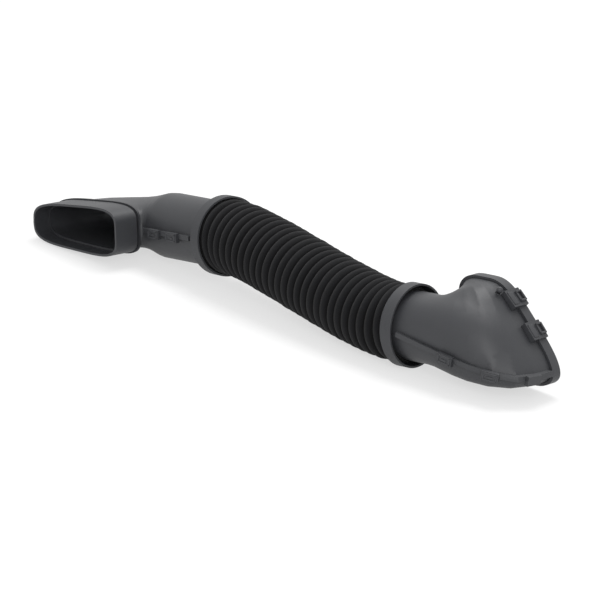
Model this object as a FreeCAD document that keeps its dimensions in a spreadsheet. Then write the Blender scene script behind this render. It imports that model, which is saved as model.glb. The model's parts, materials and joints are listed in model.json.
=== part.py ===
"""Air intake hose: a flat inlet mouth, a two-shell inlet elbow, a pleated fleece bellows between
two collars, and a two-shell outlet elbow that fans out to a fin-shaped mouth with a snap-on frame.

Millimetres.  The hose is laid out along X in an upright layout frame whose origin is the middle of
the inlet collar's front edge.  The inlet elbow turns to -Y, the outlet elbow turns to +Y.
The finished assembly is then leaned over onto the floor, the way it comes to rest, and its origin
is put at the middle of its footprint, on the floor.
"""
import FreeCAD, Part
import math
import os

import Sketcher
from FreeCAD import Placement, Rotation, Vector

doc = FreeCAD.newDocument("air_intake_hose")

# Driving dimensions
SIZES = [
    ("wall", 2.2),
    ("fit_clearance", 0.3),
    ("spigot_radius", 35.5),
    ("spigot_setback", 1.0),
    ("collar_radius", "=spigot_radius + fit_clearance + cuff_wall + collar_room + collar_wall"),
    ("collar_width", 17.0),
    ("collar_wall", 2.0),
    ("collar_room", 3.4),
    ("collar_web", 2.5),
    ("collar_shoulder", 4.0),
    ("cuff_wall", 1.8),
    ("cuff_length", 12.0),
    ("pleat_count", 27),
    ("pleat_radius", "=spigot_radius + pleat_depth"),
    ("pleat_depth", 4.5),
    ("bellows_wall", 1.5),
    ("hose_reach", 290.0),
    ("hose_sideways", 17.0),
    ("hose_drop", 44.0),
    ("hose_end_run", 62.0),
    ("inlet_pitch_deg", 2.6),
    ("outlet_yaw_deg", 10.5),
    ("inlet_pivot_back", 96.0),
    ("inlet_pivot_side", 47.0),
    ("inlet_tube_straight", 30.0),
    ("inlet_inner_radius", 7.0),
    ("inlet_back_side", 35.0),
    ("inlet_mouth_width", 132.0),
    ("inlet_near_height", 52.0),
    ("inlet_far_height", 38.0),
    ("inlet_yaw_deg", 6.0),
    ("inlet_duct_end", 13.0),
    ("inlet_frame_depth", 30.0),
    ("inlet_frame_wall", 2.4),
    ("inlet_frame_gap", 2.2),
    ("mouth_lip_depth", 3.0),
    ("flange_width", 4.0),
    ("flange_thickness", 2.6),
    ("parting_drop_deg", 12.5),
    ("outlet_pivot_along", 24.0),
    ("outlet_pivot_side", "=spigot_radius + outlet_inner_radius"),
    ("outlet_inner_radius", 1.5),
    ("outlet_mouth_width", 117.0),
    ("outlet_mouth_top", 50.0),
    ("outlet_mouth_bottom", 45.0),
    ("outlet_fin_deg", 41.0),
    ("outlet_fin_distance", 28.0),
    ("outlet_duct_end", 12.0),
    ("outlet_frame_depth", 12.0),
    ("outlet_frame_wall", 2.6),
    ("strap_length", 20.0),
    ("strap_reach", 22.0),
    ("strap_thickness", 3.4),
    ("strap_upper_deg", 27.0),
    ("strap_lower_deg", 30.0),
    ("clip_length", 18.0),
    ("clip_thickness", 3.0),
    ("clip_height", 10.0),
    ("clip_proud", 0.8),
    ("rest_lean_deg", 6.41),
    ("rest_lean_heading_deg", 86.46),
]

sheet = doc.addObject("Spreadsheet::Sheet", "Sizes")
for row, (alias, value) in enumerate(SIZES, start=1):
    sheet.set(f"A{row}", alias)
    sheet.setAlias(f"B{row}", alias)
for row, (alias, value) in enumerate(SIZES, start=1):
    sheet.set(f"B{row}", str(value))
doc.recompute()


def size(alias):
    """A driving dimension, read from the sheet."""
    return float(sheet.get(alias))


def cell(alias):
    """The expression that binds a property to a driving dimension."""
    return f"{sheet.Name}.{alias}"


# Frames of the rigid ends
X_AXIS, Y_AXIS, Z_AXIS = Vector(1, 0, 0), Vector(0, 1, 0), Vector(0, 0, 1)
LEAN_AXIS = Rotation(Z_AXIS, size("rest_lean_heading_deg")).multVec(X_AXIS)
REST = Placement(Vector(), Rotation(LEAN_AXIS, -size("rest_lean_deg")))
INLET_FRAME = REST * Placement(Vector(), Rotation(Y_AXIS, -size("inlet_pitch_deg")))
OUTLET_FRAME = REST * Placement(
    Vector(size("hose_reach"), size("hose_sideways"), -size("hose_drop")),
    Rotation(Z_AXIS, size("outlet_yaw_deg")),
)
OUTLINE_POINTS = 28
BEND_STEPS = 8
END_MARGIN = 2.0


# Document features
def feature(name, shape, frame):
    """A free-form solid, given in the local frame of the end that it belongs to."""
    made = doc.addObject("Part::Feature", name)
    made.Shape = shape
    made.Placement = frame
    return made


def box(name, frame, corner, rotation=Rotation(), **sizes):
    """A block whose sizes are numbers or expressions on the sheet."""
    made = doc.addObject("Part::Box", name)
    for prop, value in sizes.items():
        if isinstance(value, str):
            made.setExpression(prop, value)
        else:
            setattr(made, prop, value)
    made.Placement = frame * Placement(corner, rotation)
    return made


def cut(name, base, tool):
    made = doc.addObject("Part::Cut", name)
    made.Base, made.Tool = base, tool
    return made


def common(name, base, tool):
    made = doc.addObject("Part::Common", name)
    made.Base, made.Tool = base, tool
    return made


def fuse(name, shapes):
    made = doc.addObject("Part::MultiFuse", name)
    made.Shapes = shapes
    return made


# Duct outlines
def smooth_corner(across, along, angle, squareness):
    """The distance to a rounded corner between two straight walls, seen from their inner corner."""
    walls = (abs(math.cos(angle)) / across) ** squareness + (abs(math.sin(angle)) / along) ** squareness
    return walls ** (-1.0 / squareness)


def rounded_polygon(angle, sides, squareness):
    """The distance to an outline of straight sides (normal in degrees, distance) with rounded corners."""
    total = 0.0
    for normal, distance in sides:
        facing = math.cos(angle - math.radians(normal))
        if facing > 0:
            total += (facing / distance) ** squareness
    return total ** (-1.0 / squareness)


def outline(centre, half_width, half_top, half_bottom, sides, squareness, share, grow):
    """Points (across, up) of a duct section: an ellipse that turns into a polygon as share goes to 1."""
    wide, top, bottom = half_width + grow, half_top + grow, half_bottom + grow
    grown = [(normal, distance + grow) for normal, distance in sides]
    points = []
    for i in range(OUTLINE_POINTS):
        turn = 2 * math.pi * i / OUTLINE_POINTS
        tall = top if math.sin(turn) >= 0 else bottom
        angle = math.atan2(tall * math.sin(turn), wide * math.cos(turn))
        ellipse = math.hypot(wide * math.cos(turn), tall * math.sin(turn))
        reach = (1 - share) * ellipse + share * rounded_polygon(angle, grown, squareness)
        points.append((centre + reach * math.cos(angle), reach * math.sin(angle)))
    return points


def ring_wire(points, origin, across):
    """A closed smooth wire through (across, up) points in an upright plane."""
    curve = Part.BSplineCurve()
    curve.interpolate(
        Points=[origin + across * a + Z_AXIS * up for a, up in points],
        Parameters=[i / len(points) for i in range(len(points) + 1)],
        PeriodicFlag=True,
    )
    return Part.Wire(curve.toShape())


def ruled_solid(wires):
    """A closed solid of ruled faces from each section to the next, with a flat face at both ends."""
    edges = [wire.Edges[0] for wire in wires]
    faces = [Part.makeRuledSurface(a, b) for a, b in zip(edges, edges[1:])]
    faces += [Part.Face(wires[0]), Part.Face(wires[-1])]
    skin = Part.makeShell(faces)
    skin.sewShape()
    solid = Part.makeSolid(skin)
    return solid if solid.Volume > 0 else solid.reversed()


def smooth_step(t):
    return t * t * (3 - 2 * t)


def circle_points(radius):
    """A round section, with its points in the same order as the other sections."""
    turns = [2 * math.pi * i / OUTLINE_POINTS for i in range(OUTLINE_POINTS)]
    return [(radius * math.cos(turn), radius * math.sin(turn)) for turn in turns]


# Inlet elbow, from the collar to the flat mouth
INLET_PIVOT = Vector(-size("inlet_pivot_back"), -size("inlet_pivot_side"), 0)
INLET_TURN_DEG = 90 + size("inlet_yaw_deg")
INLET_SQUARENESS = 4.0
INLET_CORNER = 2.6
INLET_OUT = Rotation(Z_AXIS, 90 + INLET_TURN_DEG).multVec(Y_AXIS)
INLET_ACROSS = Rotation(Z_AXIS, INLET_TURN_DEG).multVec(Y_AXIS)
INLET_BACK = -size("inlet_tube_straight")


def inlet_section(turn_deg, grow):
    """The section at an angle round the pivot: round where the tube is, a flat trapezoid at the mouth."""
    share = smooth_step(turn_deg / INLET_TURN_DEG)
    inner = size("inlet_inner_radius")
    back = size("inlet_pivot_side") + size("inlet_back_side")
    outer = smooth_corner(back, inner + size("inlet_mouth_width"), math.radians(turn_deg), INLET_CORNER)
    near, far = size("inlet_near_height") / 2, size("inlet_far_height") / 2
    middle = (near + far) / 2
    half = (outer - inner) / 2
    taper = math.degrees(math.atan2(near - far, 2 * half))
    sides = [(0, half), (90 - taper, middle), (180, half), (270 + taper, middle)]
    height = size("spigot_radius") + (middle - size("spigot_radius")) * share
    return outline((inner + outer) / 2, half, height, height, sides, INLET_SQUARENESS, share, grow)


def inlet_duct(grow, margin, to_end=True):
    """The duct's outer solid, grown by a wall or a flange, as far as its end inside the sleeve or its lip."""
    round_end = circle_points(size("spigot_radius") + grow)
    front = margin - size("spigot_setback")
    wires = [ring_wire(round_end, X_AXIS * x, Y_AXIS) for x in (front, INLET_BACK)]
    for step in range(BEND_STEPS + 1):
        turn_deg = INLET_TURN_DEG * step / BEND_STEPS
        across = Rotation(Z_AXIS, turn_deg).multVec(Y_AXIS)
        wires.append(ring_wire(inlet_section(turn_deg, grow), INLET_PIVOT, across))
    if to_end:
        ahead = INLET_PIVOT + INLET_OUT * (size("inlet_duct_end") + margin)
        wires.append(ring_wire(inlet_section(INLET_TURN_DEG, grow), ahead, INLET_ACROSS))
    return ruled_solid(wires)


def inlet_prism(grow, start, end):
    """A sleeve's solid round the mouth, between two distances ahead of the duct's last bend."""
    points = inlet_section(INLET_TURN_DEG, grow)
    face = Part.Face(ring_wire(points, INLET_PIVOT + INLET_OUT * start, INLET_ACROSS))
    return face.extrude(INLET_OUT * (end - start))


def inlet_side(x):
    """The tube's side towards the mouth, on the straight run between the collar and the bend."""
    run = (x - INLET_BACK) / (INLET_PIVOT.x - INLET_BACK)
    return -size("spigot_radius") + run * (INLET_PIVOT.y + size("inlet_inner_radius") + size("spigot_radius"))


# Outlet elbow, from the collar to the fin-shaped mouth
OUTLET_PIVOT = Vector(size("outlet_pivot_along"), size("outlet_pivot_side"), 0)
OUTLET_SQUARENESS = 7.0
OUTLET_CORNER = 4.0
OUTLET_INNER = size("outlet_inner_radius")
PARTING = Rotation(Y_AXIS, size("parting_drop_deg"))


def outlet_across(turn_deg):
    return Rotation(Z_AXIS, turn_deg).multVec(-Y_AXIS)


def outlet_outer(turn_deg):
    """The distance from the pivot to the outer wall: straight beside the hose, then a rounded corner."""
    beside = size("outlet_pivot_side") + size("spigot_radius")
    return smooth_corner(beside, OUTLET_INNER + size("outlet_mouth_width"), math.radians(turn_deg), OUTLET_CORNER)


def outlet_section(turn_deg, grow):
    """The section at an angle round the pivot: round at the neck, a rounded fin at the mouth."""
    share = smooth_step(turn_deg / 90)
    outer = outlet_outer(turn_deg)
    half = (outer - OUTLET_INNER) / 2
    high, low = size("outlet_mouth_top"), size("outlet_mouth_bottom")
    sides = [
        (0, half),
        (size("outlet_fin_deg"), size("outlet_fin_distance")),
        (90, high),
        (180, half),
        (270, low),
    ]
    top = size("spigot_radius") + (high - size("spigot_radius")) * share
    bottom = size("spigot_radius") + (low - size("spigot_radius")) * share
    return outline((OUTLET_INNER + outer) / 2, half, top, bottom, sides, OUTLET_SQUARENESS, share, grow)


def outlet_edge(turn_deg):
    """The flange's outer edge on the parting plane, at an angle round the pivot."""
    across, fall = outlet_across(turn_deg), math.tan(math.radians(size("parting_drop_deg")))
    spots = [OUTLET_PIVOT + across * a + Z_AXIS * up for a, up in outlet_section(turn_deg, size("flange_width"))]
    above = [spot.z + fall * spot.x for spot in spots]
    for i in range(len(spots)):
        if above[i - 1] < 0 <= above[i]:
            return spots[i - 1] + (spots[i] - spots[i - 1]) * (above[i - 1] / (above[i - 1] - above[i]))


def outlet_duct(grow, margin):
    """The duct's outer solid, grown by a wall or a flange, a margin longer at both ends."""
    round_end = circle_points(size("spigot_radius") + grow)
    back = size("spigot_setback") - size("collar_width") - margin
    wires = [ring_wire(round_end, X_AXIS * back, -Y_AXIS)]
    for step in range(BEND_STEPS + 1):
        turn_deg = 90 * step / BEND_STEPS
        wires.append(ring_wire(outlet_section(turn_deg, grow), OUTLET_PIVOT, outlet_across(turn_deg)))
    ahead = OUTLET_PIVOT + Y_AXIS * (size("outlet_duct_end") + margin)
    wires.append(ring_wire(outlet_section(90, grow), ahead, X_AXIS))
    return ruled_solid(wires)


def outlet_prism(grow, start, end):
    """A band's solid round the mouth, between two distances ahead of the duct's last bend."""
    face = Part.Face(ring_wire(outlet_section(90, grow), OUTLET_PIVOT + Y_AXIS * start, X_AXIS))
    return face.extrude(Y_AXIS * (end - start))


# Bellows between the two ends
CUFF_INSIDE = size("spigot_radius") + size("fit_clearance")
CUFF_OUTSIDE = CUFF_INSIDE + size("cuff_wall")
HOSE_START = Vector(0, 0, 0)
HOSE_START_WAY = Rotation(Y_AXIS, -size("inlet_pitch_deg")).multVec(X_AXIS)
HOSE_END = (REST.inverse() * OUTLET_FRAME).multVec(Vector(-size("collar_width"), 0, 0))
HOSE_END_WAY = Rotation(Z_AXIS, size("outlet_yaw_deg")).multVec(X_AXIS)


def hose_path(t):
    """A point on the hose's S-shaped axis and its heading, as t runs from 0 to 1."""
    reach = size("hose_end_run")
    a, b = HOSE_START, HOSE_START + HOSE_START_WAY * reach
    c, d = HOSE_END - HOSE_END_WAY * reach, HOSE_END
    u = 1 - t
    point = a * u**3 + b * (3 * u * u * t) + c * (3 * u * t * t) + d * t**3
    heading = (b - a) * (u * u) + (c - b) * (2 * u * t) + (d - c) * (t * t)
    return point, heading.normalize()


def bellows_solid(crest, root, cuff, margin):
    """A pleated tube: a crest in the middle of each pleat, a root between two, a plain cuff at each end."""
    count = int(size("pleat_count"))
    stations = [(HOSE_START - HOSE_START_WAY * (size("cuff_length") + margin), HOSE_START_WAY, cuff)]
    for half in range(2 * count + 1):
        point, heading = hose_path(half / (2 * count))
        at_end = half in (0, 2 * count)
        stations.append((point, heading, cuff if at_end else crest if half % 2 else root))
    stations.append((HOSE_END + HOSE_END_WAY * (size("cuff_length") + margin), HOSE_END_WAY, cuff))
    wires = []
    for point, heading, radius in stations:
        circle = Part.makeCircle(radius, Vector(), X_AXIS)
        circle.Placement = Placement(point, Rotation(X_AXIS, heading))
        wires.append(Part.Wire(circle))
    return ruled_solid(wires)


# Collars
def collar(name, frame, web_inside):
    """A ring with an open front edge and a web behind, revolved about the hose's axis."""
    body = doc.addObject("PartDesign::Body", name)
    body.Label = name
    sketch = body.newObject("Sketcher::SketchObject", name + "_section")
    plane = [f for f in body.Origin.OriginFeatures if f.Role == "XY_Plane"][0]
    sketch.AttachmentSupport = (plane, "")
    sketch.MapMode = "FlatFace"
    radius, width, shoulder = size("collar_radius"), size("collar_width"), size("collar_shoulder")
    inside, web = radius - size("collar_wall"), -width + size("collar_web")
    corners = [
        (-width, web_inside),
        (-width, radius - shoulder),
        (-width + shoulder, radius),
        (0, radius),
        (0, inside),
        (web, inside),
        (web, web_inside),
    ]
    for (x0, y0), (x1, y1) in zip(corners, corners[1:] + corners[:1]):
        sketch.addGeometry(Part.LineSegment(Vector(x0, y0, 0), Vector(x1, y1, 0)), False)
    last = len(corners) - 1
    for i in range(len(corners)):
        sketch.addConstraint(Sketcher.Constraint("Coincident", i, 2, 0 if i == last else i + 1, 1))
    for i, way in enumerate(["Vertical", None, "Horizontal", "Vertical", "Horizontal", "Vertical", "Horizontal"]):
        if way:
            sketch.addConstraint(Sketcher.Constraint(way, i))
    origin = (-1, 1)
    driven = [
        ("DistanceX", *origin, 3, 1, 0.0, None),
        ("DistanceY", *origin, 3, 1, radius, cell("collar_radius")),
        ("DistanceX", 0, 1, *origin, width, cell("collar_width")),
        ("DistanceY", *origin, 0, 1, web_inside, None),
        ("DistanceY", 4, 1, 3, 1, size("collar_wall"), cell("collar_wall")),
        ("DistanceX", 0, 1, 6, 1, size("collar_web"), cell("collar_web")),
        ("DistanceX", 1, 1, 1, 2, shoulder, cell("collar_shoulder")),
        ("DistanceY", 1, 1, 1, 2, shoulder, cell("collar_shoulder")),
    ]
    for kind, *where, value, expression in driven:
        index = sketch.addConstraint(Sketcher.Constraint(kind, *where, value))
        if expression:
            sketch.setExpression(f"Constraints[{index}]", expression)
    turned = body.newObject("PartDesign::Revolution", name + "_ring")
    turned.Profile = sketch
    turned.ReferenceAxis = (sketch, ["H_Axis"])
    turned.Angle = 360.0
    body.Placement = frame
    return body


# Blocks that the shells are parted with
SPACE = 2 * size("hose_reach")
RIB = size("flange_thickness")
CLEAR = size("fit_clearance")


def clip_blocks(name, frame, edge, along, parting):
    """A snap clip that hangs from the upper flange's edge, and the notch that it needs in the lower one."""
    flat = parting.inverted().multVec(along)
    turn = parting * Rotation(Z_AXIS, math.degrees(math.atan2(flat.y, flat.x)))
    length, thickness, height = size("clip_length"), size("clip_thickness"), size("clip_height")
    inset = size("flange_width") / 2
    start = Vector(-length / 2, -thickness, RIB + size("clip_proud") - height)
    clip = box(
        name, frame, edge + turn.multVec(start), turn,
        Length=cell("clip_length"), Width=thickness + inset, Height=cell("clip_height"),
    )
    room = Vector(CLEAR, 0, CLEAR)
    notch = box(
        name + "_notch", frame, edge + turn.multVec(start - room), turn,
        Length=length + 2 * CLEAR, Width=thickness + inset + CLEAR, Height=height,
    )
    return clip, notch


def parted_duct(name, frame, parting, outer, wide, bore, slabs):
    """The two moulded halves of a duct: its wall, with flanges where the slabs are, cut at the parting plane."""
    ribs = common(name + "_ribs", wide, fuse(name + "_slabs", slabs) if len(slabs) > 1 else slabs[0])
    hollow = cut(name + "_hollow", fuse(name + "_ribbed", [outer, ribs]), bore)
    halves = []
    for side, level in (("upper", 0), ("lower", -SPACE)):
        space = box(
            f"{name}_{side}_space", frame, parting.multVec(Vector(-SPACE, -SPACE, level)), parting,
            Length=2 * SPACE, Width=2 * SPACE, Height=SPACE,
        )
        halves.append(common(f"{name}_{side}", hollow, space))
    return halves


def clipped_halves(name, halves, clips):
    """The upper half with its clips, and the lower half with a notch for each of them."""
    upper = fuse(name + "_upper_shell", [halves[0]] + [clip for clip, _ in clips])
    lower = cut(name + "_lower_shell", halves[1], fuse(name + "_notches", [notch for _, notch in clips]))
    return upper, lower


# Inlet elbow shells, parted at mid height
inlet_outer = feature("inlet_outer", inlet_duct(0, 0), INLET_FRAME)
inlet_bore = feature("inlet_bore", inlet_duct(-size("wall"), END_MARGIN), INLET_FRAME)
inlet_wide = feature("inlet_wide", inlet_duct(size("flange_width"), 0, to_end=False), INLET_FRAME)
LIP_TURN = Rotation(Z_AXIS, size("inlet_yaw_deg"))
inlet_seam = box(
    "inlet_seam", INLET_FRAME, Vector(-SPACE, -SPACE, -RIB),
    Length=SPACE - size("collar_width") - size("flange_width"), Width=2 * SPACE, Height=2 * RIB,
)
inlet_lip = box(
    "inlet_lip", INLET_FRAME, INLET_PIVOT + LIP_TURN.multVec(Vector(-SPACE, 0, -SPACE / 2)), LIP_TURN,
    Length=SPACE, Width=cell("mouth_lip_depth"), Height=SPACE,
)
inlet_halves = parted_duct(
    "inlet", INLET_FRAME, Rotation(), inlet_outer, inlet_wide, inlet_bore, [inlet_seam, inlet_lip]
)
side_way = Vector(INLET_BACK - INLET_PIVOT.x, inlet_side(INLET_BACK) - inlet_side(INLET_PIVOT.x), 0).normalize()
inlet_clips = []
for number, x in enumerate((INLET_BACK - size("clip_length"), INLET_PIVOT.x + size("clip_length"))):
    edge = Vector(x, inlet_side(x) - size("flange_width"), 0)
    inlet_clips.append(clip_blocks(f"inlet_clip_{number}", INLET_FRAME, edge, side_way, Rotation()))
inlet_upper, inlet_lower = clipped_halves("inlet", inlet_halves, inlet_clips)

# Inlet mouth sleeve
sleeve_start = size("inlet_frame_gap")
sleeve_end = sleeve_start + size("inlet_frame_depth")
sleeve_outer = feature(
    "inlet_sleeve_outer",
    inlet_prism(CLEAR + size("inlet_frame_wall"), sleeve_start, sleeve_end),
    INLET_FRAME,
)
sleeve_inner = feature(
    "inlet_sleeve_inner", inlet_prism(CLEAR, sleeve_start - END_MARGIN, sleeve_end + END_MARGIN), INLET_FRAME
)
inlet_frame = cut("inlet_frame", sleeve_outer, sleeve_inner)

# Bellows and collars
crest, root = size("pleat_radius"), size("pleat_radius") - size("pleat_depth")
skin = size("bellows_wall")
bellows_outer = feature("bellows_outer", bellows_solid(crest, root, CUFF_OUTSIDE, 0), REST)
bellows_inner = feature("bellows_inner", bellows_solid(crest - skin, root - skin, CUFF_INSIDE, END_MARGIN), REST)
bellows = cut("bellows", bellows_outer, bellows_inner)
inlet_collar = collar("inlet_collar", INLET_FRAME, CUFF_INSIDE)
outlet_collar = collar("outlet_collar", OUTLET_FRAME, CUFF_OUTSIDE + CLEAR)

# Outlet elbow shells, parted on a plane that falls towards the outer corner
outlet_body = feature("outlet_outer", outlet_duct(0, 0), OUTLET_FRAME)
outlet_bore = feature("outlet_bore", outlet_duct(-size("wall"), END_MARGIN), OUTLET_FRAME)
outlet_wide = feature("outlet_wide", outlet_duct(size("flange_width"), 0), OUTLET_FRAME)
band_end = size("outlet_duct_end") + CLEAR
band_start = band_end - size("outlet_frame_depth")
outlet_seam = box(
    "outlet_seam", OUTLET_FRAME, PARTING.multVec(Vector(size("flange_width"), -SPACE, -RIB)), PARTING,
    Length=SPACE, Width=SPACE + OUTLET_PIVOT.y + band_start - CLEAR, Height=2 * RIB,
)
outlet_halves = parted_duct("outlet", OUTLET_FRAME, PARTING, outlet_body, outlet_wide, outlet_bore, [outlet_seam])
outlet_clips = []
for number, turn_deg in enumerate((30, 55, 76)):
    edge, further = outlet_edge(turn_deg), outlet_edge(turn_deg + 2)
    outlet_clips.append(clip_blocks(f"outlet_clip_{number}", OUTLET_FRAME, edge, further - edge, PARTING))
outlet_upper, outlet_lower = clipped_halves("outlet", outlet_halves, outlet_clips)

# Outlet rim frame, with snap straps that reach back over the upper shell
def strap_block(name, facing_deg):
    """A strap on the rim, where the rim's outline is met at an angle from the middle of the mouth."""
    rim = outlet_section(90, CLEAR + size("outlet_frame_wall"))
    middle = OUTLET_INNER + size("outlet_mouth_width") / 2

    def apart(i):
        across, up = rim[i]
        return abs(math.degrees(math.atan2(up, across - middle)) - facing_deg)

    nearest = min(range(len(rim)), key=apart)
    (a0, up0), (a1, up1) = rim[nearest - 1], rim[(nearest + 1) % len(rim)]
    turn = Rotation(Y_AXIS, math.degrees(math.atan2(up1 - up0, a0 - a1)))
    across, up = rim[nearest]
    spot = OUTLET_PIVOT + Vector(across, band_end - size("strap_reach"), up)
    start = Vector(-size("strap_length") / 2, 0, -size("outlet_frame_wall"))
    return box(
        name, OUTLET_FRAME, spot + turn.multVec(start), turn,
        Length=cell("strap_length"), Width=cell("strap_reach"),
        Height=f"{cell('outlet_frame_wall')} + {cell('strap_thickness')}",
    )


band_outer = feature(
    "outlet_band_outer",
    outlet_prism(CLEAR + size("outlet_frame_wall"), band_start, band_end),
    OUTLET_FRAME,
)
outlet_clear = feature("outlet_clear", outlet_duct(CLEAR, END_MARGIN), OUTLET_FRAME)
straps = [
    strap_block("outlet_strap_upper", size("outlet_fin_deg") + size("strap_upper_deg")),
    strap_block("outlet_strap_lower", size("outlet_fin_deg") - size("strap_lower_deg")),
]
outlet_frame = cut("outlet_frame", fuse("outlet_band", [band_outer] + straps), outlet_clear)

SUB_PARTS = [
    inlet_frame,
    inlet_upper,
    inlet_lower,
    inlet_collar,
    bellows,
    outlet_collar,
    outlet_upper,
    outlet_lower,
    outlet_frame,
]


def stand_on_floor():
    """Move every base shape so that the middle of the footprint is the origin, on the floor."""
    bounds = FreeCAD.BoundBox()
    for part in SUB_PARTS:
        bounds.add(part.Shape.optimalBoundingBox(False))
    shift = Placement(Vector(-bounds.Center.x, -bounds.Center.y, -bounds.ZMin), Rotation())
    for item in doc.Objects:
        if item.TypeId in ("Part::Feature", "Part::Box", "PartDesign::Body"):
            item.Placement = shift * item.Placement
    doc.recompute()


def check_document():
    """Stop before anything is written if a feature failed or a sub-part's shape is empty or faulty."""
    for item in doc.Objects:
        if "Invalid" in item.State or "Error" in item.State:
            raise RuntimeError(f"{item.Name} did not build: {item.State}")
    for part in SUB_PARTS:
        if part.Shape.isNull() or not part.Shape.isValid():
            raise RuntimeError(f"{part.Label} has no valid shape")


doc.recompute()
stand_on_floor()
check_document()
os.makedirs("parts", exist_ok=True)
for part in SUB_PARTS:
    part.Shape.exportStep(f"parts/{part.Label}.step")
    print(part.Label, "solids", len(part.Shape.Solids), "volume", round(part.Shape.Volume))
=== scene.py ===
"""Air intake hose, dressed and lit for a studio picture.

The moulded pieces keep the frame's own meshes, with a plastic finish and soft shading.
The fleece bellows, the latches and the ball stud are built here.  Lengths are in metres.
"""
import json
import math

import bmesh
import bpy
from mathutils import Matrix, Vector


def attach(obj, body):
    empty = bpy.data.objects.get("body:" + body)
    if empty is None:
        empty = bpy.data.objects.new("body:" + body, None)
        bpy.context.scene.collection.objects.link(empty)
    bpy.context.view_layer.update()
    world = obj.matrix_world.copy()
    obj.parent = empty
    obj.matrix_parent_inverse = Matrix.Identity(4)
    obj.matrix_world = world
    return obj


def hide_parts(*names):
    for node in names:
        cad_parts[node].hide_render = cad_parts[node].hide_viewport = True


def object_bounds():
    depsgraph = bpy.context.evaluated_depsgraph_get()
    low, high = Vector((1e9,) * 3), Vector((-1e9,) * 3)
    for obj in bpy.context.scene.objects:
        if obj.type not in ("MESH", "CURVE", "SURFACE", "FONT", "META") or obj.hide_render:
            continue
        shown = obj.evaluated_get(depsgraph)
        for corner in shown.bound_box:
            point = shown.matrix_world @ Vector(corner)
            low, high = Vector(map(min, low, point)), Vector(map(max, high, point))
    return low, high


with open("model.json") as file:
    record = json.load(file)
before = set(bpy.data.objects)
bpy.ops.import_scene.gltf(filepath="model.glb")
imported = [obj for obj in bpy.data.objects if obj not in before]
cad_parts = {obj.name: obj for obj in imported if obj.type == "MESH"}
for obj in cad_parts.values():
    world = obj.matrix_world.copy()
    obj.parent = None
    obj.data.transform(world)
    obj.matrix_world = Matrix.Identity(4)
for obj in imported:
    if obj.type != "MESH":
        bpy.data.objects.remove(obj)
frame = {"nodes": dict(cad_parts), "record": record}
CAD_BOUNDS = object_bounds()

bl_info = {
    "name": "Air intake hose",
    "version": (1, 0, 0),
    "blender": (4, 5, 0),
    "location": "View3D > Sidebar > Hose",
    "description": "Dresses the air intake hose and sets up its studio",
    "category": "Object",
}

MM = 0.001
BODY = "root"
AXIS_STEPS = 40
SHELL_NODES = ("inlet_upper_shell", "inlet_lower_shell", "outlet_upper_shell", "outlet_lower_shell")
RIM_NODES = ("inlet_frame", "outlet_frame")
COLLAR_NODES = ("inlet_collar", "outlet_collar")


# Local frames of the two ends, read from the frame's own meshes and mounts
def mount_axis(name):
    """The outward direction of one of the part's mounts."""
    return Vector(next(m for m in frame["record"]["mounts"] if m["name"] == name)["axis"])


def ring_axis(node):
    """The direction of a collar's axis, towards the outlet: the way in which its points spread least."""
    points = [v.co for v in frame["nodes"][node].data.vertices]
    middle = sum(points, Vector()) / len(points)
    spread = Matrix(((0, 0, 0), (0, 0, 0), (0, 0, 0)))
    for point in points:
        away = point - middle
        for i in range(3):
            for j in range(3):
                spread[i][j] += away[i] * away[j]
    narrow = spread.inverted()
    axis = Vector((1, 0, 0))
    for _ in range(AXIS_STEPS):
        axis = (narrow @ axis).normalized()
    return axis if axis.x > 0 else -axis


def ring_end(node, axis, front):
    """The centre of a collar's front or back edge, on its axis."""
    points = [v.co for v in frame["nodes"][node].data.vertices]
    side = axis.orthogonal().normalized()
    centre = Vector()
    for way in (side, axis.cross(side)):
        reach = [point.dot(way) for point in points]
        centre += way * (min(reach) + max(reach)) / 2
    along = [point.dot(axis) for point in points]
    return centre + axis * (max(along) if front else min(along))


def end_frame(collar, mouth_way):
    """An end's own frame: origin at its collar's front edge, X along the hose, Z up."""
    x = ring_axis(collar)
    z = x.cross(mouth_way).normalized()
    turn = Matrix((x, z.cross(x), z)).transposed().to_4x4()
    return Matrix.Translation(ring_end(collar, x, True)) @ turn


INLET = end_frame("inlet_collar", -mount_axis("inlet_mouth"))
OUTLET = end_frame("outlet_collar", mount_axis("outlet_mouth"))
INLET_WAY, OUTLET_WAY = INLET.col[0].xyz, OUTLET.col[0].xyz
HOSE_START = INLET.translation
HOSE_END = ring_end("outlet_collar", OUTLET_WAY, False)


# Settings
def length(name, description, millimetres):
    """A length that a user may change, with its default in millimetres."""
    return bpy.props.FloatProperty(
        name=name, description=description, default=millimetres * MM, subtype="DISTANCE", unit="LENGTH"
    )


def angle(name, description, degrees):
    """An angle that a user may change, with its default in degrees."""
    return bpy.props.FloatProperty(
        name=name, description=description, default=math.radians(degrees), subtype="ANGLE", unit="ROTATION"
    )


def colour(name, description, shade):
    """A colour that a user may change."""
    return bpy.props.FloatVectorProperty(
        name=name, description=description, default=shade, size=3, subtype="COLOR"
    )


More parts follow.
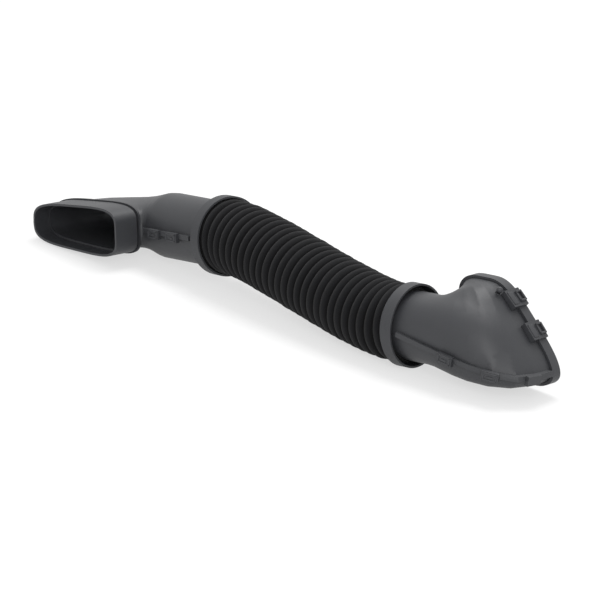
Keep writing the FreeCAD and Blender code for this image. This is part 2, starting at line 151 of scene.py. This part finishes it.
class BellowsSettings(bpy.types.PropertyGroup):
    """Sizes and colours of the fleece bellows."""

    pleats: bpy.props.IntProperty(
        name="Pleats", description="How many pleats the hose has", default=27, min=4
    )
    crest_radius: length("Crest radius", "From the hose's axis to the top of a pleat", 40.2)
    root_radius: length("Root radius", "From the hose's axis to the fold between two pleats", 36.8)
    cuff_radius: length("Cuff radius", "Outside of the plain cuff at each end", 37.6)
    cuff_length: length("Cuff length", "How far a cuff reaches into its collar", 12.0)
    fleece_wall: length("Fleece", "The fleece's thickness", 1.2)
    end_run: length("End run", "How far the hose keeps each collar's direction", 62.0)
    seed: bpy.props.IntProperty(name="Seed", description="Picks the pleats' small differences", default=7)
    # The fold colour is the fleece's dark fibre tone and also the painted shade in its folds; the crest
    # colour is its light fibre tone and also the painted highlight on its crests.
    dark_fibre_and_fold_shade: colour("Fold colour", "The fleece in the folds", (0.0010, 0.0010, 0.0012))
    light_fibre_and_crest_highlight: colour("Crest colour", "The fleece on the crests", (0.0064, 0.0066, 0.0082))


class PlasticSettings(bpy.types.PropertyGroup):
    """Colours and small sizes of the moulded pieces."""

    shell_dark: colour(
        "Shell, dark", "The darkest cloud in the shells' plastic", (0.0250, 0.0260, 0.0292)
    )
    shell_light: colour(
        "Shell, light", "The lightest cloud in the shells' plastic", (0.0365, 0.0378, 0.0420)
    )
    collar_dark: colour(
        "Collar, dark", "The darkest cloud in the collars' plastic", (0.0270, 0.0281, 0.0314)
    )
    collar_light: colour(
        "Collar, light", "The lightest cloud in the collars' plastic", (0.0380, 0.0393, 0.0434)
    )
    stud_radius: length("Stud radius", "The locating stud's ball head", 3.3)


class StageSettings(bpy.types.PropertyGroup):
    """The camera's place, as the photograph shows the inlet collar from it."""

    inlet_pitch: angle("Inlet pitch", "How far the inlet collar looks up", 2.6)
    azimuth: angle("Azimuth", "The camera's turn round the hose", 51.9)
    elevation: angle("Elevation", "The camera's rise over the hose", 13.5)
    distance: length("Distance", "From the camera to the inlet collar, along its view", 3803.0)
    collar_right: length("Collar right", "The inlet collar's place right of the picture's middle", -74.3)
    collar_up: length("Collar up", "The inlet collar's place above the picture's middle", 67.5)
    lens: bpy.props.FloatProperty(
        name="Lens", description="The camera's focal length", default=215.0,
        subtype="DISTANCE_CAMERA", unit="CAMERA",
    )


# Node trees
class Value:
    """A node's output that can be added to, multiplied and so on, each time with a Math node."""

    def __init__(self, graph, socket):
        self.graph, self.socket = graph, socket

    def _math(self, operation, first, second=0.0, clamp=False):
        settings = {"operation": operation, "use_clamp": clamp}
        return self.graph.value("ShaderNodeMath", settings, {0: first, 1: second})

    def __add__(self, other):
        return self._math("ADD", self, other)

    def __radd__(self, other):
        return self._math("ADD", other, self)

    def __sub__(self, other):
        return self._math("SUBTRACT", self, other)

    def __rsub__(self, other):
        return self._math("SUBTRACT", other, self)

    def __mul__(self, other):
        return self._math("MULTIPLY", self, other)

    def __rmul__(self, other):
        return self._math("MULTIPLY", other, self)

    def __pow__(self, exponent):
        return self._math("POWER", self, exponent)

    def clamped(self):
        """The value, kept between 0 and 1."""
        return self._math("ADD", self, 0.0, clamp=True)


class Graph:
    """A shader or geometry tree, built one node at a time."""

    def __init__(self, tree):
        self.tree = tree

    def node(self, kind, settings=None, sockets=None):
        """A node of a kind, its settings set first, then its sockets' values or links."""
        made = self.tree.nodes.new(kind)
        for name, item in (settings or {}).items():
            setattr(made, name, item)
        for name, item in (sockets or {}).items():
            self.feed(made.inputs[name], item)
        return made

    def value(self, kind, settings=None, sockets=None, output=0):
        """The same, as the value of one of its outputs."""
        return Value(self, self.node(kind, settings, sockets).outputs[output])

    def feed(self, socket, item):
        """Link a value to a socket, or set the socket to a plain number or colour."""
        if isinstance(item, Value):
            self.tree.links.new(item.socket, socket)
        else:
            socket.default_value = item


class Surface(Graph):
    """A material with one principled shader."""

    def __init__(self, name):
        self.material = bpy.data.materials.new(name)
        self.material.use_nodes = True
        super().__init__(self.material.node_tree)
        self.shader = next(n for n in self.tree.nodes if n.type == "BSDF_PRINCIPLED")
        self.place = self.value("ShaderNodeTexCoord", output="Object")

    def noise(self, grain, detail=4.0, rough=0.55, stretch=(1, 1, 1)):
        """Noise with about this many grains to the metre, stretched along the object's axes."""
        place = self.value("ShaderNodeMapping", sockets={"Vector": self.place, "Scale": stretch})
        sockets = {"Vector": place, "Scale": grain, "Detail": detail, "Roughness": rough}
        return self.value("ShaderNodeTexNoise", sockets=sockets, output="Fac")

    def blend(self, share, low, high):
        """A colour between two, by share."""
        stops = {"Factor": share, "A": (*low, 1.0), "B": (*high, 1.0)}
        made = self.node("ShaderNodeMix", {"data_type": "RGBA"})
        for socket in made.inputs:
            if socket.name in stops and socket.enabled:
                self.feed(socket, stops[socket.name])
        return Value(self, next(o for o in made.outputs if o.enabled))

    def finish(self, **sockets):
        """Feed the shader's sockets, named with underscores for spaces."""
        for name, item in sockets.items():
            self.feed(self.shader.inputs[name.replace("_", " ")], item)
        return self.material


def moulded_plastic(name, dark, light, roughness):
    """Charcoal moulded plastic: fine spark-eroded grain, faint flow clouds and a soft gloss."""
    surface = Surface(name)
    grain = surface.noise(1500.0, detail=2.0)
    clouds = surface.noise(28.0, detail=5.0)
    scuffs = surface.noise(240.0, detail=6.0, rough=0.7, stretch=(0.25, 1.0, 1.0))
    skin = {"Strength": 0.22, "Distance": 0.12 * MM, "Height": grain + scuffs * 0.35}
    return surface.finish(
        Base_Color=surface.blend((clouds * 0.7 + scuffs * 0.3).clamped(), dark, light),
        Roughness=(grain * 0.10 + scuffs * 0.10 + (roughness - 0.10)).clamped(),
        Specular_IOR_Level=0.42,
        Normal=surface.value("ShaderNodeBump", sockets=skin),
    )


def fleece(name, fold, crest):
    """Needled fleece: short fibres that lie every way, with a painted highlight on the crests and painted
    shade in the folds.
    """
    surface = Surface(name)
    fibres = surface.noise(900.0, detail=6.0, rough=0.75, stretch=(1.0, 0.35, 1.0))
    cross = surface.noise(1100.0, detail=6.0, rough=0.75, stretch=(0.35, 1.0, 0.6))
    lint = surface.noise(160.0, detail=6.0, rough=0.8)
    height = surface.value("ShaderNodeAttribute", {"attribute_name": "crest"}, output="Fac")
    # Painted light: the crest height lightens the crests as a painted highlight and darkens the folds as
    # painted shade; the fibre and lint noise is the fleece's own uneven tone.
    share = height**2.0 * 0.55 + (fibres + cross - 1.0) * 0.9 + (lint - 0.5) * 0.5
    nap = {"Strength": 0.75, "Distance": 0.35 * MM, "Height": fibres + cross + lint * 0.5}
    return surface.finish(
        Base_Color=surface.blend(share.clamped(), fold, crest),
        Roughness=(lint * 0.12 + 0.84).clamped(),
        Specular_IOR_Level=0.12,
        Sheen_Weight=0.05,
        Sheen_Roughness=0.6,
        Normal=surface.value("ShaderNodeBump", sockets=nap),
    )


class GeometryGroup(Graph):
    """A geometry tree with named inputs, for one modifier."""

    KINDS = {
        "geometry": "NodeSocketGeometry",
        "count": "NodeSocketInt",
        "angle": "NodeSocketFloat",
        "object": "NodeSocketObject",
        "material": "NodeSocketMaterial",
    }

    def __init__(self, name, **inputs):
        super().__init__(bpy.data.node_groups.new(name, "GeometryNodeTree"))
        self.sockets = {}
        for label, kind in {"Geometry": "geometry", **inputs}.items():
            made = self.tree.interface.new_socket(label, in_out="INPUT", socket_type=self.KINDS[kind])
            self.sockets[label] = made.identifier
        self.tree.interface.new_socket("Geometry", in_out="OUTPUT", socket_type=self.KINDS["geometry"])
        self.given = self.node("NodeGroupInput")

    def input(self, label):
        """One of the tree's named inputs."""
        return Value(self, self.given.outputs[label])

    def end(self, geometry):
        """Make the geometry real, give it the Finish input's material and hand it out."""
        real = self.value("GeometryNodeRealizeInstances", sockets={"Geometry": geometry})
        sockets = {"Geometry": real, "Material": self.input("Finish")}
        finished = self.value("GeometryNodeSetMaterial", sockets=sockets)
        self.node("NodeGroupOutput", sockets={"Geometry": finished})

    def put_on(self, obj, **values):
        """Add the group to an object as a modifier, with its inputs set."""
        modifier = obj.modifiers.new(self.tree.name, "NODES")
        modifier.node_group = self.tree
        for label, item in values.items():
            modifier[self.sockets[label]] = item


FACET_GAP = 0.004 * MM


def soft_shading():
    """Joins a moulded piece's facets and shades it smooth, except across its true edges."""
    group = GeometryGroup("soft_shading", Edge="angle", Finish="material")
    sockets = {"Geometry": group.input("Geometry"), "Name": "custom_normal"}
    plain = group.value("GeometryNodeRemoveAttribute", sockets=sockets)
    sockets = {"Geometry": plain, "Distance": FACET_GAP}
    joined = group.value("GeometryNodeMergeByDistance", sockets=sockets)
    smooth = group.value("GeometryNodeSetShadeSmooth", sockets={"Geometry": joined})
    bend = group.value("GeometryNodeInputMeshEdgeAngle", output="Unsigned Angle")
    sockets = {"A": bend, "B": group.input("Edge")}
    gentle = group.value("FunctionNodeCompare", {"operation": "LESS_THAN"}, sockets)
    sockets = {"Geometry": smooth, "Shade Smooth": gentle}
    group.end(group.value("GeometryNodeSetShadeSmooth", {"domain": "EDGE"}, sockets))
    return group


# How far a pleat may differ from its fellows: its tilt and turn in radians, and its scale
PLEAT_TILT = ((-0.012, -0.012, 0.0), (0.012, 0.012, 6.28))
PLEAT_GIRTH = ((0.985, 0.985, 0.95), (1.0, 1.0, 1.05))


def pleats_on_path():
    """Sets a pleat on each of a path's points, turned along the path, each a little different."""
    group = GeometryGroup("pleats_on_path", Pleat="object", Count="count", Seed="count", Finish="material")

    def random_vector(limits, seed):
        sockets = {"Min": limits[0], "Max": limits[1], "Seed": seed}
        return group.value("FunctionNodeRandomValue", {"data_type": "FLOAT_VECTOR"}, sockets)

    sockets = {"Curve": group.input("Geometry"), "Count": group.input("Count")}
    points = group.node("GeometryNodeCurveToPoints", {"mode": "COUNT"}, sockets)
    sockets = {"Vector": Value(group, points.outputs["Tangent"])}
    along = group.value("FunctionNodeAlignRotationToVector", {"axis": "Z"}, sockets)
    sockets = {"Rotation": along, "Rotate By": random_vector(PLEAT_TILT, group.input("Seed"))}
    facing = group.value("FunctionNodeRotateRotation", {"rotation_space": "LOCAL"}, sockets)
    sockets = {"Object": group.input("Pleat")}
    pleat = group.value("GeometryNodeObjectInfo", sockets=sockets, output="Geometry")
    sockets = {
        "Points": Value(group, points.outputs["Points"]),
        "Instance": pleat,
        "Rotation": facing,
        "Scale": random_vector(PLEAT_GIRTH, group.input("Seed") + 1),
    }
    group.end(group.value("GeometryNodeInstanceOnPoints", sockets=sockets))
    return group


# Mesh helpers
def add_object(name, data):
    """A new object in the scene."""
    made = bpy.data.objects.new(name, data)
    bpy.context.scene.collection.objects.link(made)
    return made


def keep(obj):
    """A finished piece rides on the part's body."""
    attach(obj, BODY)


def turned(name, profile, around, ring=True):
    """A closed shape turned about Z from (radius, height, crest) points, with crest kept on its vertices.

    A ring's last point meets its first; any other shape is capped at both ends.
    """
    mesh = bpy.data.meshes.new(name)
    vertices, crests, faces = [], [], []
    for radius, height, crest in profile:
        for i in range(around):
            turn = 2 * math.pi * i / around
            vertices.append((radius * math.cos(turn), radius * math.sin(turn), height))
            crests.append(crest)
    rows = len(profile)
    for row in range(rows if ring else rows - 1):
        low, high = row * around, (row + 1) % rows * around
        for i in range(around):
            j = (i + 1) % around
            faces.append((low + i, low + j, high + j, high + i))
    if not ring:
        faces.append(tuple(reversed(range(around))))
        faces.append(tuple(range((rows - 1) * around, rows * around)))
    mesh.from_pydata(vertices, [], faces)
    # The crest share sets where the fleece gets its painted highlight and its painted fold shade.
    mesh.attributes.new("crest", "FLOAT", "POINT").data.foreach_set("value", crests)
    mesh.shade_smooth()
    return mesh


def with_inside(profile, wall, step=2):
    """A profile with its inner side added, a wall's thickness nearer the axis and with fewer points."""
    inner = profile[::step] if (len(profile) - 1) % step == 0 else profile[::step] + [profile[-1]]
    return profile + [(radius - wall, height, 0.0) for radius, height, _ in reversed(inner)]


def baked(name, source):
    """A plain mesh object of what a source shows with its modifiers; the source is removed."""
    bpy.context.view_layer.update()
    shown = source.evaluated_get(bpy.context.evaluated_depsgraph_get())
    made = add_object(name, bpy.data.meshes.new_from_object(shown))
    bpy.data.objects.remove(source)
    return made


# Bellows
HOSE_AROUND = 96
AXIS_RESOLUTION = 64
PLEAT_STEPS = 14
PLEAT_OVERLAP = 1.08
LAP_REACH, LAP_DEPTH = 0.17, 0.9 * MM
CREST_FULLNESS = 0.55
CUFF_EDGE = 1.2 * MM


def pleat_profile(settings, pitch):
    """One pleat from fold to fold: a full rounded crest, and at each fold a lap under the next pleat."""
    lap = settings.root_radius - LAP_DEPTH
    profile = [(lap, -(0.5 + LAP_REACH) * pitch, 0.0)]
    for i in range(PLEAT_STEPS + 1):
        share = i / PLEAT_STEPS
        lift = math.sin(math.pi * share) ** CREST_FULLNESS if 0 < i < PLEAT_STEPS else 0.0
        radius = settings.root_radius + (settings.crest_radius - settings.root_radius) * lift
        profile.append((radius, (share - 0.5) * pitch * PLEAT_OVERLAP, lift))
    return with_inside(profile + [(lap, (0.5 + LAP_REACH) * pitch, 0.0)], settings.fleece_wall)


def cuff_profile(settings):
    """A plain cuff, turned in under the first pleat and at the end that the collar hides."""
    radius, reach = settings.cuff_radius, settings.cuff_length
    # The third number of each point is its crest share: the cuff gets a faint painted highlight from it.
    outside = [
        (radius - CUFF_EDGE, -3 * CUFF_EDGE, 0.0),
        (radius, 0.0, 0.3),
        (radius, reach - CUFF_EDGE, 0.3),
        (radius - CUFF_EDGE / 2, reach, 0.1),
    ]
    return with_inside(outside, settings.fleece_wall, step=1)


def hose_axis(run):
    """The hose's axis as a curve: it leaves both collars straight and bends gently between them."""
    curve = bpy.data.curves.new("hose_axis", "CURVE")
    curve.dimensions, curve.resolution_u = "3D", AXIS_RESOLUTION
    spline = curve.splines.new("BEZIER")
    spline.bezier_points.add(1)
    ends = ((HOSE_START, INLET_WAY), (HOSE_END, OUTLET_WAY))
    for point, (place, way) in zip(spline.bezier_points, ends):
        point.handle_left_type = point.handle_right_type = "FREE"
        point.co, point.handle_left, point.handle_right = place, place - way * run, place + way * run
    return curve, spline


class HOSE_OT_bellows(bpy.types.Operator):
    """Build the pleated fleece bellows between the two collars"""

    bl_idname = "hose.bellows"
    bl_label = "Bellows"

    def execute(self, context):
        settings = context.scene.bellows_settings
        finish = fleece("black_fleece", settings.dark_fibre_and_fold_shade, settings.light_fibre_and_crest_highlight)
        curve, spline = hose_axis(settings.end_run)
        pitch = spline.calc_length() / settings.pleats
        first, last = spline.bezier_points
        first.co, last.co = HOSE_START + INLET_WAY * pitch / 2, HOSE_END - OUTLET_WAY * pitch / 2
        pleat = add_object("pleat", turned("pleat", pleat_profile(settings, pitch), HOSE_AROUND))
        path = add_object("hose_axis", curve)
        pleats_on_path().put_on(path, Pleat=pleat, Count=settings.pleats, Seed=settings.seed, Finish=finish)
        bellows = baked("bellows_pleats", path)
        bpy.data.objects.remove(pleat)
        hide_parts("bellows")
        keep(bellows)
        for name, place, way in (("inlet", HOSE_START, -INLET_WAY), ("outlet", HOSE_END, OUTLET_WAY)):
            cuff = add_object(f"bellows_cuff_{name}", turned("cuff", cuff_profile(settings), HOSE_AROUND))
            lean = way.to_track_quat("Z", "Y").to_matrix().to_4x4()
            cuff.data.transform(Matrix.Translation(place) @ lean)
            cuff.data.materials.append(finish)
            keep(cuff)
        return {"FINISHED"}


# Moulded pieces
TRUE_EDGE = math.radians(28)
SHELL_ROUGHNESS, COLLAR_ROUGHNESS = 0.50, 0.56


class HOSE_OT_mouldings(bpy.types.Operator):
    """Give the shells, rims and collars their plastic and their soft shading"""

    bl_idname = "hose.mouldings"
    bl_label = "Moulded pieces"

    def execute(self, context):
        settings = context.scene.plastic_settings
        shell = moulded_plastic(
            "shell_plastic", settings.shell_dark, settings.shell_light, SHELL_ROUGHNESS
        )
        collar = moulded_plastic(
            "collar_plastic", settings.collar_dark, settings.collar_light, COLLAR_ROUGHNESS
        )
        shading = soft_shading()
        for name in SHELL_NODES + RIM_NODES + COLLAR_NODES:
            node = frame["nodes"][name]
            finish = collar if name in COLLAR_NODES else shell
            node.data.materials.clear()
            node.data.materials.append(finish)
            shading.put_on(node, Edge=TRUE_EDGE, Finish=finish)
        return {"FINISHED"}


# Latches and stud, seated on the flat faces and the shell that carry them
STRAP_FACE = (20.0 * MM, 22.0 * MM)
CLIP_FACE = (18.0 * MM, 10.0 * MM)
FLAT_LIMIT = math.radians(0.5)
SIDE_LIMIT, AREA_LIMIT = 0.05 * MM, 0.01
SAME_POINT = 0.001 * MM
# A clip this near the part's end gets no latch, which would reach past the part's box
END_CLIP_ROOM = 5.0 * MM
BLOCK_ROUNDING, BLOCK_SEGMENTS = 0.45 * MM, 3
# Blocks of a latch in millimetres, each as its middle and its size: along, across and out of its face
STRAP_LATCH = (
    ((-5.2, -5.6, 1.0), (2.0, 8.4, 3.2)),
    ((5.2, -5.6, 1.0), (2.0, 8.4, 3.2)),
    ((0.0, -8.9, 1.0), (12.4, 1.9, 3.2)),
    ((0.0, -2.6, 0.6), (12.4, 2.2, 2.4)),
    ((0.0, 5.4, 0.1), (15.0, 7.0, 1.4)),
)
CLIP_LATCH = (
    ((-6.6, 0.0, 0.0), (1.8, 8.4, 1.4)),
    ((6.6, 0.0, 0.0), (1.8, 8.4, 1.4)),
    ((0.0, -3.4, 0.0), (15.0, 1.7, 1.4)),
    ((0.0, 3.3, 0.0), (15.0, 1.7, 1.4)),
    ((0.0, 0.7, 0.0), (6.4, 2.6, 1.6)),
)


def flat_faces(node, sides, aim):
    """A frame on each flat face with these sides: X along the first, Y nearest to aim, Z outwards."""
    shape = bmesh.new()
    shape.from_mesh(frame["nodes"][node].data)
    bmesh.ops.remove_doubles(shape, verts=shape.verts[:], dist=SAME_POINT)
    bmesh.ops.dissolve_limit(shape, angle_limit=FLAT_LIMIT, verts=shape.verts[:], edges=shape.edges[:])
    found = []
    for face in shape.faces:
        along = [edge for edge in face.edges if abs(edge.calc_length() - sides[0]) < SIDE_LIMIT]
        if along and abs(face.calc_area() / (sides[0] * sides[1]) - 1) < AREA_LIMIT:
            x = (along[0].verts[0].co - along[0].verts[1].co).normalized()
            z = face.normal.copy()
            y = z.cross(x)
            if y.dot(aim) < 0:
                x, y = -x, -y
            turn = Matrix((x, y, z)).transposed().to_4x4()
            found.append(Matrix.Translation(face.calc_center_median()) @ turn)
    shape.free()
    return found


def blocks_on(name, places, blocks):
    """One mesh of small moulded blocks with rounded edges, repeated at every place."""
    mesh = bpy.data.meshes.new(name)
    shape = bmesh.new()
    for place in places:
        for middle, size in blocks:
            made = bmesh.ops.create_cube(shape, size=1.0)["verts"]
            grow = Matrix.Diagonal((*(v * MM for v in size), 1.0))
            put = place @ Matrix.Translation(Vector(middle) * MM) @ grow
            bmesh.ops.transform(shape, matrix=put, verts=made)
            edges = list({edge for vertex in made for edge in vertex.link_edges})
            bmesh.ops.bevel(
                shape, geom=edges, offset=BLOCK_ROUNDING, segments=BLOCK_SEGMENTS, profile=0.5,
                affect="EDGES", clamp_overlap=True,
            )
    shape.to_mesh(mesh)
    shape.free()
    mesh.shade_smooth()
    return add_object(name, mesh)


STUD_SPOT = Vector((0.2640, 0.0580))
STUD_AROUND, BALL_STEPS = 40, 12
STUD_SINK, STUD_FOOT, STUD_NECK = -1.5 * MM, 0.6 * MM, 2.2 * MM
BALL_START = -0.9
BALL_RISE = 0.78
POLE_RADIUS = 0.02 * MM


def stud_profile(radius):
    """A ball on a waisted neck that widens into the shell."""
    profile = [
        (1.15 * radius, STUD_SINK, 0.0),
        (0.85 * radius, STUD_FOOT, 0.0),
        (0.62 * radius, STUD_NECK, 0.0),
    ]
    middle = STUD_NECK + BALL_RISE * radius
    for i in range(BALL_STEPS + 1):
        rise = BALL_START + (math.pi / 2 - BALL_START) * i / BALL_STEPS
        across = max(radius * math.cos(rise), POLE_RADIUS)
        profile.append((across, middle + radius * math.sin(rise), 0.0))
    return profile


class HOSE_OT_fittings(bpy.types.Operator):
    """Build the latches on the straps and clips, and the stud beside the upper strap"""

    bl_idname = "hose.fittings"
    bl_label = "Latches and stud"

    def execute(self, context):
        finish = bpy.data.materials["shell_plastic"]
        inwards = -mount_axis("outlet_mouth")
        down = Vector((0, 0, -1))
        side = CAD_BOUNDS[1][0] - END_CLIP_ROOM
        straps = flat_faces("outlet_frame", STRAP_FACE, inwards)
        inlet_clips = flat_faces("inlet_upper_shell", CLIP_FACE, down)
        clips = flat_faces("outlet_upper_shell", CLIP_FACE, down)
        outlet_clips = [place for place in clips if place.translation.x < side]
        pieces = [
            blocks_on("strap_latches", straps, STRAP_LATCH),
            blocks_on("outlet_clip_latches", outlet_clips, CLIP_LATCH),
            blocks_on("inlet_clip_latches", inlet_clips, CLIP_LATCH),
        ]
        above = STUD_SPOT.to_3d() + Vector((0, 0, 1))
        hit, seat, normal, _ = frame["nodes"]["outlet_upper_shell"].ray_cast(above, down)
        if not hit:
            raise RuntimeError("the stud has no shell under it")
        profile = stud_profile(context.scene.plastic_settings.stud_radius)
        stud = add_object("locating_stud", turned("locating_stud", profile, STUD_AROUND, ring=False))
        lean = normal.to_track_quat("Z", "Y").to_matrix().to_4x4()
        stud.data.transform(Matrix.Translation(seat) @ lean)
        for piece in pieces + [stud]:
            piece.data.materials.append(finish)
            keep(piece)
        return {"FINISHED"}


# Stage
# Each soft box: its name, its place, the point it looks at, its width and its power in watts
SOFT_BOXES = (
    ("top_soft_box", (-0.5, 0.7, 2.4), (-0.05, 0, 0.05), 1.6, 46.0),
    ("front_fill", (2.3, -1.7, 1.5), (0.05, 0, 0.05), 1.4, 36.0),
)
SKY_LEVEL = 0.75
FLOOR_REACH = 12.0
FLOOR_COLOUR = (0.85, 0.85, 0.85, 1.0)
FLOOR_WHITE = 0.62
WHITE = (1, 1, 1, 1)
SENSOR_WIDTH, FARTHEST = 36.0, 100.0


def soft_box(name, place, aim, size, power):
    """A round soft light that looks at a point."""
    light = bpy.data.lights.new(name, "AREA")
    light.shape, light.size, light.energy = "DISK", size, power
    made = add_object(name, light)
    made.location = place
    made.rotation_euler = (Vector(aim) - Vector(place)).to_track_quat("-Z", "Y").to_euler()


def seen_directly(graph):
    """1 on what is seen straight, in a reflection or through glass, and 0 on what only lights the hose."""
    path = graph.node("ShaderNodeLightPath")
    rays = ("Is Camera Ray", "Is Glossy Ray", "Is Transmission Ray")
    camera, glossy, through = (Value(graph, path.outputs[name]) for name in rays)
    return (camera + glossy + through).clamped()


def whiten(surface):
    """Mixes white into what is seen directly, so that the floor is white and its shadow faint."""
    white = surface.value("ShaderNodeEmission", sockets={"Color": WHITE, "Strength": 1.0})
    plain = Value(surface, surface.shader.outputs[0])
    sockets = {0: seen_directly(surface) * FLOOR_WHITE, 1: plain, 2: white}
    mixed = surface.value("ShaderNodeMixShader", sockets=sockets)
    output = next(n for n in surface.tree.nodes if n.type == "OUTPUT_MATERIAL")
    surface.feed(output.inputs["Surface"], mixed)


def paper_floor():
    """A wide pale floor under the hose, which shows as white to the camera where no shadow falls."""
    mesh = bpy.data.meshes.new("floor")
    corners = [(x * FLOOR_REACH, y * FLOOR_REACH, 0) for x, y in ((-1, -1), (1, -1), (1, 1), (-1, 1))]
    mesh.from_pydata(corners, [], [(0, 1, 2, 3)])
    paper = Surface("floor_paper")
    paper.finish(Base_Color=FLOOR_COLOUR, Roughness=0.9, Specular_IOR_Level=0.1)
    whiten(paper)
    mesh.materials.append(paper.material)
    add_object("floor", mesh)


class HOSE_OT_stage(bpy.types.Operator):
    """Set up the floor, the lights and the camera"""

    bl_idname = "hose.stage"
    bl_label = "Stage"

    def execute(self, context):
        scene, settings = context.scene, context.scene.stage_settings
        paper_floor()
        world = bpy.data.worlds.new("studio")
        world.use_nodes = True
        graph = Graph(world.node_tree)
        sky = next(n for n in world.node_tree.nodes if n.type == "BACKGROUND")
        graph.feed(sky.inputs["Color"], WHITE)
        graph.feed(sky.inputs["Strength"], seen_directly(graph) * (1 - SKY_LEVEL) + SKY_LEVEL)
        scene.world = world
        for box in SOFT_BOXES:
            soft_box(*box)

        turn, rise = settings.azimuth, settings.elevation
        flat = math.cos(rise)
        back = Vector((math.sin(turn) * flat, -math.cos(turn) * flat, math.sin(rise)))
        right = Vector((math.cos(turn), math.sin(turn), 0))
        up = back.cross(right)
        spot = back * settings.distance - right * settings.collar_right - up * settings.collar_up
        camera = bpy.data.cameras.new("camera")
        camera.lens, camera.sensor_width, camera.clip_end = settings.lens, SENSOR_WIDTH, FARTHEST
        level = Matrix.Rotation(settings.inlet_pitch, 4, "Y")
        view = Matrix((right, up, back)).transposed().to_4x4()
        scene.camera = add_object("camera", camera)
        scene.camera.matrix_world = INLET @ level @ Matrix.Translation(spot) @ view
        scene.view_settings.view_transform = "Standard"
        return {"FINISHED"}


# Add-on
GROUPS = {
    "bellows_settings": BellowsSettings,
    "plastic_settings": PlasticSettings,
    "stage_settings": StageSettings,
}
OPERATORS = (HOSE_OT_mouldings, HOSE_OT_fittings, HOSE_OT_bellows, HOSE_OT_stage)


class HOSE_PT_panel(bpy.types.Panel):
    """The hose's pieces and sizes"""

    bl_label = "Air intake hose"
    bl_idname = "HOSE_PT_panel"
    bl_space_type = "VIEW_3D"
    bl_region_type = "UI"
    bl_category = "Hose"

    def draw(self, context):
        for group, kind in GROUPS.items():
            for name in kind.__annotations__:
                self.layout.prop(getattr(context.scene, group), name)
        for operator in OPERATORS:
            self.layout.operator(operator.bl_idname)


CLASSES = tuple(GROUPS.values()) + OPERATORS + (HOSE_PT_panel,)


def register():
    for item in CLASSES:
        bpy.utils.register_class(item)
    for group, kind in GROUPS.items():
        setattr(bpy.types.Scene, group, bpy.props.PointerProperty(type=kind))


def unregister():
    for group in GROUPS:
        delattr(bpy.types.Scene, group)
    for item in reversed(CLASSES):
        bpy.utils.unregister_class(item)


def main():
    """Build every piece and the stage."""
    register()
    for operator in OPERATORS:
        family, name = operator.bl_idname.split(".")
        getattr(getattr(bpy.ops, family), name)()


if __name__ == "__main__":
    main()
